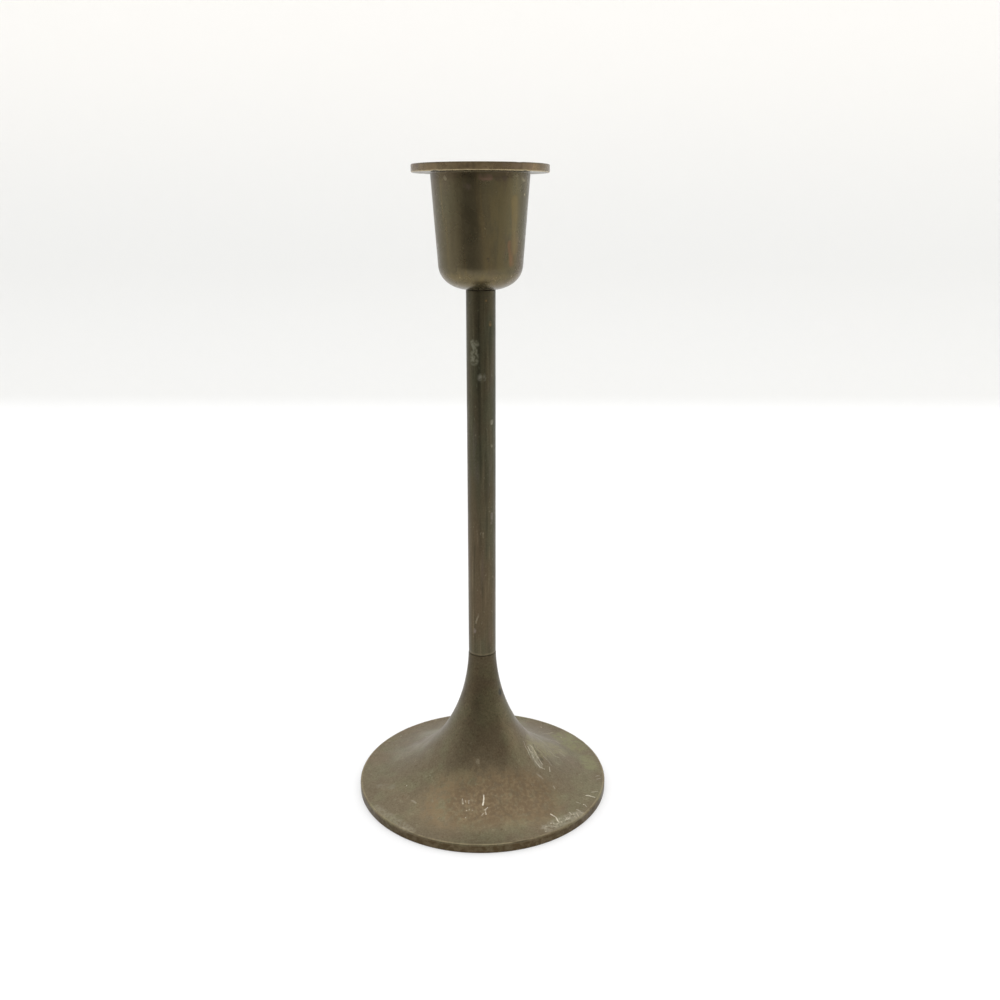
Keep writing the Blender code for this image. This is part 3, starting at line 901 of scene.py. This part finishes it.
unseen_blooms = []
for spot in range(UNSEEN_BLOOMS):
    bloom = (*on_circle(luck.uniform(10, 170), STEM_RADIUS), luck.uniform(50, 142))
    unseen_blooms.append((bloom, luck.uniform(0.5, 1.3)))
STEM_BRASS = worn_metal(
    "drawn_brass_green_brown_patina", "#594e3b", roughness=0.38, metallic=0.85, seed=60.0,
    skins=[
        ("#505341", 0.45, 11.0, (1, 1, 0.35), 0.46, 0.62),
        ("#5d4e3c", 0.55, 7.0, (1, 1, 0.30), 0.48, 0.64),
        ("#3b392b", 0.50, 1.3, (1, 1, 0.05), 0.52, 0.68),
        ("#736751", 0.42, 1.0, (1, 1, 0.06), 0.54, 0.70),
        ("#6a5d57", 0.30, 2.6, (1, 1, 0.12), 0.54, 0.70),
        ("#8a826c", 0.40, 0.6, (1, 1, 0.60), 0.63, 0.74),
    ],
    fade=(55.0, 135.0, "#d6e2e2"), grain_mm=0.4, grain_strength=0.12,
    stains=[
        ("#7c7b68", 0.60, FINER, ((-1.8, -3.6, 131.2), (-1.9, -3.5, 129.7), 1.7),
         ((-2.2, -3.3, 134.6), (-1.5, -3.7, 132.6), 1.0), ((-1.0, -3.9, 134.7), (-0.9, -3.9, 134.0), 0.7)),
        ("#7d7a6c", 0.60, EVEN, ((0.3, -4.0, 125.2), (0.3, -4.0, 125.0), 1.5)),
        ("#948f7c", 0.60, FINER, ((3.0, -2.7, 112.9), (3.0, -2.7, 112.4), 0.7)),
        ("#88846f", 0.50, FINER, ((3.0, -2.7, 106.3), (3.0, -2.7, 105.9), 0.5)),
        ("#7a5f36", 0.55, EVEN, ((2.6, -3.1, 139.8), (2.6, -3.1, 139.2), 0.6), ((1.4, -3.7, 145.6), 0.4)),
        ("#948a72", 0.45, EVEN, ((0.5, -4.0, 81.1), (0.5, -4.0, 79.6), 0.3),
         ((-1.0, -3.9, 56.3), (-1.8, -3.6, 53.5), 0.35)),
        ("#8a7d76", 0.40, EVEN, ((2.9, -2.7, 86.3), (2.9, -2.8, 83.7), 0.6),
         ((-2.0, -3.5, 51.4), (-2.2, -3.4, 50.4), 0.6)),
        ("#7f7d6a", 0.55, EVEN, *unseen_blooms),
    ],
    # A pale line just above the stem's lower end: a painted highlight along the joint.
    rings=[("#8a7c62", 0.22, EVEN, ((4.0, 43.55), (4.0, 43.75), 0.25))],
)

ring_heights = np.linspace(STEM_TOP, STEM_LOW, STEM_RINGS + 1)[1:-1]
stem_rings = [(STEM_RADIUS, float(height), 0) for height in ring_heights]
stem_corners = [(STEM_RADIUS, STEM_TOP, 0.1)] + stem_rings + [(STEM_RADIUS, STEM_LOW, 0.06)]
stem_corners += [(BORE, STEM_LOW, 0.1), (BORE, STEM_TOP, 0.1)]
turned_piece(
    "stem_drawn_tube", "stem_tube", rounded(stem_corners), STEM_BRASS,
    inside=lambda radius, height: radius < BORE + 0.2,
    steps=96, waviness=0.02 * MM, wave_length=6 * MM, seed=2.0,
)

# %% [markdown]
# ## Candle cup: the finish
# Brass turned from the bar. It has been wiped more than the rest, so its patina is smoother and
# more olive, with upright wipe streaks and a reddish one on the right. A golden streak beside it is
# partly patina and partly a painted reflection of the window lamp. The dark band in the corner
# under the flange is painted shade, the flange's rim is mottled brown, and its lower edge carries
# a thin gold line, partly rubbed metal and partly a painted reflection of the table.

# %% Turned brass with an olive patina
CUP_BRASS = worn_metal(
    "turned_brass_olive_patina", "#5d5540", roughness=0.28, metallic=0.85, seed=90.0,
    skins=[
        ("#5c5843", 0.60, 15.0, (1, 1, 0.5), 0.42, 0.60),
        ("#5e5041", 0.55, 10.0, (1, 1, 0.4), 0.50, 0.64),
        ("#463d2b", 0.27, 1.7, (1, 1, 0.07), 0.52, 0.70),
        ("#746545", 0.40, 2.2, (1, 1, 0.06), 0.54, 0.72),
        ("#8f8468", 0.28, 0.6, EVEN, 0.66, 0.76),
        ("#362e22", 0.40, 0.8, EVEN, 0.66, 0.76),
    ],
    grain_mm=0.4, grain_strength=0.07,
    stains=[
        ("#655830", 0.38, (1, 1, 0.3), ((6.0, -10.8, 172.0), (6.0, -9.8, 157.0), 6.5)),
        # A golden streak: partly patina, partly a painted reflection of the window lamp on the right.
        ("#7a683c", 0.42, UPRIGHT, ((8.9, -8.9, 171.1), (8.9, -7.4, 158.8), 1.6)),
        ("#7a5436", 0.55, UPRIGHT, ((7.8, -8.8, 160.4), (8.2, -8.0, 155.4), 1.2)),
        ("#958b70", 0.60, EVEN, ((-8.8, -9.5, 176.5), (-8.6, -9.7, 176.2), 0.6),
         ((10.8, -7.2, 176.9), (11.4, -6.4, 176.3), 1.1), ((9.4, -8.9, 176.9), (9.6, -8.7, 176.8), 0.5)),
        ("#7a5a4c", 0.55, EVEN, ((0.4, -13.0, 176.4), (2.6, -12.7, 176.4), 1.1)),
        ("#43342a", 0.60, EVEN, ((4.6, -12.0, 176.3), (6.2, -11.3, 176.1), 1.1),
         ((-3.6, -12.3, 174.9), (-2.8, -12.5, 174.2), 1.0)),
        ("#352c20", 0.60, EVEN, ((2.1, -11.3, 156.6), (2.1, -11.3, 156.1), 0.5),
         ((-10.3, -6.4, 165.7), 0.35)),
        ("#d8cda9", 0.80, EVEN, ((11.5, -5.4, 172.5), (11.5, -5.4, 172.4), 0.3),
         ((8.1, -6.8, 152.1), 0.25)),
        ("#a3926f", 0.34, EVEN, ((-8.8, -15.7, 179.0), (-6.0, -17.0, 179.0), 1.5)),
        ("#5e4f2a", 0.60, FINER, ((-5.0, -17.3, 179.0), (2.6, -17.8, 179.0), 1.5)),
        ("#3c2c2c", 0.70, FINER, ((6.6, -16.7, 179.2), (12.6, -12.8, 179.2), 1.3),
         ((-17.4, -4.4, 179.3), (-15.6, -8.9, 179.4), 0.9)),
        ("#a89b78", 0.55, EVEN, ((-4.3, -10.9, 159.3), 0.25), ((1.4, -12.0, 164.2), 0.25),
         ((-5.2, -9.1, 151.9), 0.25)),
    ],
    rings=[
        # Painted shade: a dark band in the corner under the flange.
        ("#463b2b", 0.45, EVEN, ((13.0, 176.9), (13.0, 177.6), 0.9)),
        ("#7c6e4c", 0.35, EVEN, ((11.0, 151.4), (8.6, 149.4), 1.7)),
        ("#877359", 0.55, EVEN, ((18.0, 178.4), (18.0, 179.5), 0.7)),
        # Partly rubbed metal, partly a painted reflection of the table on the flange's lower edge.
        ("#bfae88", 0.55, EVEN, ((17.85, 177.98), 0.34)),
        ("#4a4032", 0.60, EVEN, ((17.8, 179.9), 0.4)),
    ],
    inside="#6e614a",
)

# %% [markdown]
# ## Candle cup: the form
# A flat flange, a wall that tapers by 4.25 degrees a side and a round belly, bored with the same
# taper to take the candle's end. The flange has one deeper knock on the right in front and seven
# small ones from the seed.

# %% The cup
CUP_BASE = 148.3
CUP_TOP = 180.0
CUP_FLOOR = CUP_BASE + 5.5
CUP_SLOPE_DEG = 4.25
CUP_SLOPE = math.tan(math.radians(CUP_SLOPE_DEG))
FLANGE_RADIUS = 18.0
FLANGE_UNDER = CUP_TOP - 2.1
BELLY_TOP = CUP_BASE + 6.35
BELLY_REACH = 4.9
BELLY_END = 4.35
END_HEADING = 5
END_REACH = 1.8
BELLY_POINTS = 40
MOUTH = 11.2
WALL_TOP = 13.05
WALL_RINGS = 28
WALL_DROPS = (1.5, 22)
CUP_KNOCKS = 7

floor_radius = MOUTH - CUP_SLOPE * (CUP_TOP - CUP_FLOOR)
belly_radius = WALL_TOP - CUP_SLOPE * (FLANGE_UNDER - BELLY_TOP)
belly = curve_between(
    (belly_radius, BELLY_TOP), -90 - CUP_SLOPE_DEG, BELLY_REACH,
    (BELLY_END, CUP_BASE), END_HEADING, END_REACH, BELLY_POINTS,
)
wall_drops = np.linspace(*WALL_DROPS, WALL_RINGS)
wall_rings = [(WALL_TOP - CUP_SLOPE * drop, FLANGE_UNDER - drop, 0) for drop in wall_drops]
bore_heights = np.linspace(CUP_FLOOR + 3.5, CUP_TOP - 1.5, WALL_RINGS)
bore_rings = [(MOUTH - CUP_SLOPE * (CUP_TOP - z), z, 0) for z in bore_heights]
cup_corners = [(MOUTH, CUP_TOP, 0.35), (FLANGE_RADIUS, CUP_TOP, 0.3), (FLANGE_RADIUS, FLANGE_UNDER, 0.35)]
cup_corners += [(WALL_TOP, FLANGE_UNDER, 0.3)] + wall_rings + belly + [(BORE, CUP_BASE, 0.1)]
cup_corners += [(BORE, CUP_FLOOR, 0.3), (floor_radius, CUP_FLOOR, 2.5)] + bore_rings
cup_dents = [((11.5, -13.8, 177.95), 1.0, 0.22)]
for knock in range(CUP_KNOCKS):
    rim_place = on_circle(luck.uniform(0, 360), FLANGE_RADIUS - CORNER_INSET)
    corner = (*rim_place, luck.choice([178.0, 179.9]))
    cup_dents.append((corner, luck.uniform(0.8, 1.3), luck.uniform(0.05, 0.12)))
turned_piece(
    "candle_cup_turned", "candle_cup", rounded(cup_corners, 8), CUP_BRASS, dents=cup_dents,
    inside=lambda radius, height: radius < MOUTH and height > CUP_FLOOR - HAIR,
    steps=192, waviness=0.02 * MM, wave_length=7 * MM, seed=3.0,
)

# %% [markdown]
# ## Zinc plated steel
# The rod, the washer and the nut are stock hardware under a skin of zinc a hundredth of a
# millimetre thick. Fresh zinc is a bluish grey mirror; old zinc is dull, with paler bloom where it
# has begun to corrode and a little brown where the steel shows. None of it was ever polished.

# %% Zinc plated steel
ZINC_STEEL = worn_metal(
    "zinc_plated_steel_dulled", "#9c9b97", roughness=0.40, metallic=0.92, seed=130.0,
    skins=[
        ("#85868a", 0.70, 3.5, EVEN, 0.42, 0.60),
        ("#bdbdb8", 0.50, 1.2, EVEN, 0.52, 0.68),
        ("#7a6546", 0.45, 2.0, EVEN, 0.60, 0.74),
    ],
    grain_mm=0.35, grain_strength=0.10,
)

# %% [markdown]
# ## Tie rod
# An M5 rod, threaded at both ends with a pitch of 0.8 mm and plain between. Its thread is cut by
# the outline's grooves: full depth along the thread, running out to nothing at each end. Only
# where the thread is does the outline need points, ten to a millimetre.

# %% Tie rod
ROD_RADIUS = 2.5
ROD_LOW = 6.4
ROD_HIGH = 153.3
ROD_CHAMFER = 0.5
LOWER_THREAD_END = 34.0
UPPER_THREAD_START = 138.0
THREAD_DEPTH = 0.42
THREAD_STEP = 0.1
RUN_OUT = 0.5


def threaded_run(low, high):
    """Outline points along a thread, and how far the groove cuts in at each."""
    heights = np.arange(low, high + THREAD_STEP / 2, THREAD_STEP)
    depth = np.clip(np.minimum(heights - low, high - heights) / RUN_OUT, 0, 1)
    return [(ROD_RADIUS, height) for height in heights], list(-THREAD_DEPTH * depth)


lower_run, lower_grooves = threaded_run(ROD_LOW + ROD_CHAMFER, LOWER_THREAD_END)
upper_run, upper_grooves = threaded_run(UPPER_THREAD_START, ROD_HIGH - ROD_CHAMFER)
end_radii = (0, 1.0, ROD_RADIUS - ROD_CHAMFER)
rod_outline = [(radius, ROD_LOW) for radius in end_radii] + lower_run + upper_run
rod_outline += [(radius, ROD_HIGH) for radius in reversed(end_radii)]
uncut = [0] * len(end_radii)
rod_grooves = uncut + lower_grooves + upper_grooves + uncut
turned_piece(
    "tie_rod_threaded", "tie_rod", rod_outline, ZINC_STEEL, grooves=rod_grooves, steps=36, closed=0,
)

# %% [markdown]
# ## Washer
# Punched from sheet: the punch leaves one side of the rim rounded and the other nearly sharp.

# %% Washer
WASHER_RADIUS = 5.0
WASHER_LOW = 15.7
WASHER_HIGH = 16.7
washer_corners = [(WASHER_RADIUS, WASHER_HIGH, 0.2), (WASHER_RADIUS, WASHER_LOW, 0.35)]
washer_corners += [(BORE, WASHER_LOW, 0.1), (BORE, WASHER_HIGH, 0.1)]
turned_piece("washer_pressed", "washer", rounded(washer_corners), ZINC_STEEL, steps=96)

# %% [markdown]
# ## Hex nut
# A cone cuts the corners of the hexagon at both ends, which is what gives a nut its arched edges.
# On the lathe that comes by itself: the outline is the cone and the flats cut it down to 8 mm.

# %% Hex nut
NUT_LOW = 11.4
NUT_HIGH = 15.4
FLAT_RADIUS = 4.0
CONE_TOP = 3.8
CONE_DEG = 30
CONE_POINTS = 10
SIDE_POINTS = 12
CORNER_RADIUS = 4.82
BORE_CHAMFER = 0.25
NUT_THREAD_START = 0.3
NUT_THREAD_DEPTH = 0.25

cone_reach = CORNER_RADIUS - CONE_TOP
cone_drop = cone_reach * math.tan(math.radians(CONE_DEG))
cone = [(CONE_TOP + cone_reach * t, cone_drop * t) for t in np.linspace(0, 1, CONE_POINTS)]
side_heights = np.linspace(NUT_HIGH - cone_drop, NUT_LOW + cone_drop, SIDE_POINTS)
nut_outline = [(radius, NUT_HIGH - drop) for radius, drop in cone[:-1]]
nut_outline += [(CORNER_RADIUS, z) for z in side_heights]
nut_outline += [(radius, NUT_LOW + drop) for radius, drop in reversed(cone[:-1])]
bore_heights = np.arange(NUT_LOW + NUT_THREAD_START, NUT_HIGH - BORE_CHAMFER, THREAD_STEP)
nut_outline += [(BORE + BORE_CHAMFER, NUT_LOW)] + [(BORE, z) for z in bore_heights]
nut_outline += [(BORE + BORE_CHAMFER, NUT_HIGH)]
threaded_points = len(bore_heights)
nut_grooves = [0] * (len(nut_outline) - threaded_points - 1) + [-NUT_THREAD_DEPTH] * threaded_points + [0]
turned_piece(
    "hex_nut_threaded", "hex_nut", nut_outline, ZINC_STEEL, grooves=nut_grooves,
    steps=144, flats=6, flat_radius=FLAT_RADIUS * MM,
)

# %% [markdown]
# ## White paper
# The candlestick stands on a white table, 64 cm in front of a pale wall. Both are one sheet here,
# bent up behind. The camera, and the metal that mirrors the sheet, see it at the white of paper,
# with a share of real light in it so that it keeps the candlestick's soft shadow. Seen from
# behind the sheet is clear, so that it never hides the object.

# %% Table and wall
WALL_AT = 0.64
BEND_RADIUS = 0.12
BEND_STEPS = 12
WALL_TOP_AT = 2.5
PAPER_HALF_WIDTH = 3.0
TABLE_FRONT = -0.33
PAPER_DROP = 0.02 * MM

sheet_line = [(TABLE_FRONT, 0.0), (0.0, 0.0), (WALL_AT - BEND_RADIUS, 0.0)]
for bend_step in range(1, BEND_STEPS + 1):
    bend = math.radians(90 * bend_step / BEND_STEPS)
    back, up = BEND_RADIUS * math.sin(bend), BEND_RADIUS * (1 - math.cos(bend))
    sheet_line.append((WALL_AT - BEND_RADIUS + back, up))
sheet_line.append((WALL_AT, WALL_TOP_AT))
sheet = bmesh.new()
rails = []
for x in (-PAPER_HALF_WIDTH, PAPER_HALF_WIDTH):
    rails.append([sheet.verts.new((x, y, z - PAPER_DROP)) for y, z in sheet_line])
for i in range(len(sheet_line) - 1):
    sheet.faces.new((rails[0][i], rails[1][i], rails[1][i + 1], rails[0][i + 1]))
paper_mesh = bpy.data.meshes.new("paper_sheet")
sheet.to_mesh(paper_mesh)
sheet.free()
paper_mesh.shade_smooth()
paper = placed("paper_sheet", paper_mesh)
paper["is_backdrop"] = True
print(f"the paper is {len(paper_mesh.polygons)} faces, bent up {WALL_AT} m behind the axis")

# %% [markdown]
# ## The paper's material
# The table renders as pure white and the wall as a very light grey, which pales upwards and to
# the far sides until it meets the white of the room. Two fifths of what the camera gets is the
# paper's own glow and the rest is real light, sent back by very white paper. The two come out
# just as bright, so only a shadow shows on the table.

# %% Matt white paper
GLOW_SHARE = 0.4
REFLECTANCE = 0.92
PAPER_WHITE = "#ffffff"
WALL_GREY = "#f0f0ee"
WALL_WARM = "#fcfaf6"
# Each tone takes over between two heights, or between two distances to the side, in metres.
TONES_UP = ((WALL_GREY, 0.0015, 0.017), (WALL_WARM, 0.12, 0.36), (PAPER_WHITE, 0.4, 0.9))
TONES_ASIDE = ((PAPER_WHITE, 0.55, 1.4),)

PAPER, tree = with_empty_tree(bpy.data.materials.new("matt_white_paper"))
place = add_node(tree, "ShaderNodeTexCoord").outputs["Object"]
at = add_node(tree, "ShaderNodeSeparateXYZ", [place]).outputs
aside = add_node(tree, "ShaderNodeMath", [at["X"]], operation="ABSOLUTE")
paper_colour = linear(PAPER_WHITE)
for along, tones in ((at["Z"], TONES_UP), (aside, TONES_ASIDE)):
    for tone, low, high in tones:
        levels = {"Value": along, "From Min": low, "From Max": high}
        share = add_node(tree, "ShaderNodeMapRange", levels, interpolation_type="SMOOTHSTEP")
        layer = {"Factor": share, "A": paper_colour, "B": linear(tone)}
        paper_colour = add_node(tree, "ShaderNodeMix", layer, data_type="RGBA")
dimmed = {"Vector": paper_colour, "Scale": REFLECTANCE}
fibre = add_node(tree, "ShaderNodeVectorMath", dimmed, operation="SCALE")
matt = add_node(tree, "ShaderNodeBsdfDiffuse", {"Color": fibre})
glow = add_node(tree, "ShaderNodeEmission", {"Color": paper_colour, "Strength": 1.0})
white = add_node(tree, "ShaderNodeMixShader", [GLOW_SHARE, matt, glow])
ray = add_node(tree, "ShaderNodeLightPath").outputs
seen = add_node(tree, "ShaderNodeMath", [ray["Is Camera Ray"], ray["Is Glossy Ray"]], operation="MAXIMUM")
seen = add_node(tree, "ShaderNodeMath", [seen, ray["Is Transmission Ray"]], operation="MAXIMUM")
shown = add_node(tree, "ShaderNodeMixShader", [seen, matt, white])
backface = add_node(tree, "ShaderNodeNewGeometry").outputs["Backfacing"]
clear = add_node(tree, "ShaderNodeBsdfTransparent")
both = add_node(tree, "ShaderNodeMixShader", [backface, shown, clear])
add_node(tree, "ShaderNodeOutputMaterial", [both])
paper_mesh.materials.append(PAPER)
print("the wall is", [round(c, 2) for c in linear(WALL_GREY)[:3]], "and the table 1.0")

# %% [markdown]
# ## The dim side of the room
# What makes old brass look like metal is what it mirrors. Here the table, the wall and the sides
# are bright, and the room behind the camera is dim, darkest a little to the left at table height.
# That is where the broad dark band down the cup comes from. The dim side is a piece of a dome with
# soft edges that only light and reflections meet, and each of its points carries its own cover,
# how much of the white room it hides, and its own glow.

# %% A dim piece of dome behind the camera
DOME_RADIUS = 1.3
DOME_COLUMNS = 60
DOME_ROWS = 32
ROOM_GLOW = 0.60
HIGH_GLOW = 0.36
DARK_GLOW = 0.15
# In degrees: turns to the left are below zero, and rises count up from the table. A pair of
# levels says where a change starts and where it is complete.
DOME_TURNS = (-106, 106)
DOME_RISES = (-35, 82)
COVER_TURN = 2
COVER_HALF_WIDTH = 52
WIDER_ABOVE = 14
WIDENING = (5, 25)
SOFT_EDGE = 36
UPPER_EDGE = (78, 50)
DARK_TURN = -25
DARK_ASIDE = (37, 10)
DARK_BELOW = (28, 10)
DIMMING = (2, 24)


def smooth(value, low, high):
    share = np.clip((value - low) / (high - low), 0, 1)
    return share * share * (3 - 2 * share)


turns = np.linspace(*DOME_TURNS, DOME_COLUMNS + 1)
rises = np.linspace(*DOME_RISES, DOME_ROWS + 1)
turn_deg, rise_deg = np.meshgrid(turns, rises)
turn, rise = np.radians(turn_deg), np.radians(rise_deg)
towards = [np.cos(rise) * np.sin(turn), -np.cos(rise) * np.cos(turn), np.sin(rise)]
dome_points = DOME_RADIUS * np.stack(towards, axis=-1)
wide = COVER_HALF_WIDTH + WIDER_ABOVE * smooth(rise_deg, *WIDENING)
cover = smooth(np.abs(turn_deg - COVER_TURN), wide + SOFT_EDGE, wide) * smooth(rise_deg, *UPPER_EDGE)
dark = smooth(np.abs(turn_deg - DARK_TURN), *DARK_ASIDE) * smooth(rise_deg, *DARK_BELOW)
room_glow = ROOM_GLOW + (HIGH_GLOW - ROOM_GLOW) * smooth(rise_deg, *DIMMING)
room_glow += (DARK_GLOW - room_glow) * dark

across = DOME_COLUMNS + 1
corners = [(r * across + c, r * across + c + 1, (r + 1) * across + c + 1, (r + 1) * across + c)
           for r in range(DOME_ROWS) for c in range(DOME_COLUMNS)]
dome_mesh = bpy.data.meshes.new("dim_side_of_room")
dome_mesh.from_pydata([tuple(point) for point in dome_points.reshape(-1, 3)], [], corners)
for label, values in (("cover", cover), ("glow", room_glow)):
    dome_mesh.attributes.new(label, "FLOAT", "POINT").data.foreach_set("value", values.ravel())
dome = placed("dim_side_of_room", dome_mesh)
dome.visible_camera = False
dome.visible_diffuse = False
dome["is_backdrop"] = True
print(f"the dim side hides {100 * float(cover.mean()):.0f}% of its dome")

# %% [markdown]
# ## The dome's material
# Each point of the dome glows as much as its "glow" attribute says and lets the white room behind
# it through where its "cover" attribute is low, so the dim side has no edge.

# %% A dim glow that fades into the room
DIM_ROOM, tree = with_empty_tree(bpy.data.materials.new("dim_room"))
glows = add_node(tree, "ShaderNodeAttribute", attribute_name="glow").outputs["Fac"]
covers = add_node(tree, "ShaderNodeAttribute", attribute_name="cover").outputs["Fac"]
dim = add_node(tree, "ShaderNodeEmission", {"Color": linear("#fff6ea"), "Strength": glows})
clear = add_node(tree, "ShaderNodeBsdfTransparent")
both = add_node(tree, "ShaderNodeMixShader", [covers, clear, dim])
add_node(tree, "ShaderNodeOutputMaterial", [both])
dome_mesh.materials.append(DIM_ROOM)
print(f"its glow goes from {room_glow.min():.2f} to {room_glow.max():.2f} of the room's white")

# %% [markdown]
# ## Pale room and soft lamps
# The rest of the room is one even white, at a strength where a colour renders about as it is
# written. A wide lamp overhead is a little brighter than the room, so that the top of the foot is
# lighter than its sides, and a weaker, warmer one stands in for a window on the right.

# %% World and lamps
LAMPS_AIM = (0, 0, 0.09)

world, tree = with_empty_tree(bpy.data.worlds.new("pale_room"))
bpy.context.scene.world = world
room = add_node(tree, "ShaderNodeBackground", {"Color": linear("#ffffff"), "Strength": 1.0})
add_node(tree, "ShaderNodeOutputWorld", [room])


def soft_lamp(name, place, size, watts, colour):
    data = bpy.data.lights.new(name, "AREA")
    data.shape = "RECTANGLE"
    data.size, data.size_y = size
    data.energy = watts
    data.color = linear(colour)[:3]
    lamp = placed(name, data)
    lamp.location = place
    lamp.rotation_euler = (Vector(LAMPS_AIM) - Vector(place)).to_track_quat("-Z", "Y").to_euler()
    lamp.visible_camera = False
    print(f"{name}: {watts / (math.pi * size[0] * size[1]):.2f} times the white of the room")


soft_lamp("ceiling", (0.0, 0.1, 1.6), (1.6, 1.4), 9.0, "#fdfdff")
soft_lamp("window_right", (1.2, 0.1, 0.35), (0.6, 0.8), 0.6, "#fff3dd")
bpy.context.scene.view_settings.view_transform = "Standard"

# %% [markdown]
# ## The finished box
# The box round the finished model, without the paper and the dome, is printed in millimetres.

# %% Sizes, and the last line
low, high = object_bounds()
print("visual box in mm:", [round(c / MM, 2) for c in (*low, *high)])
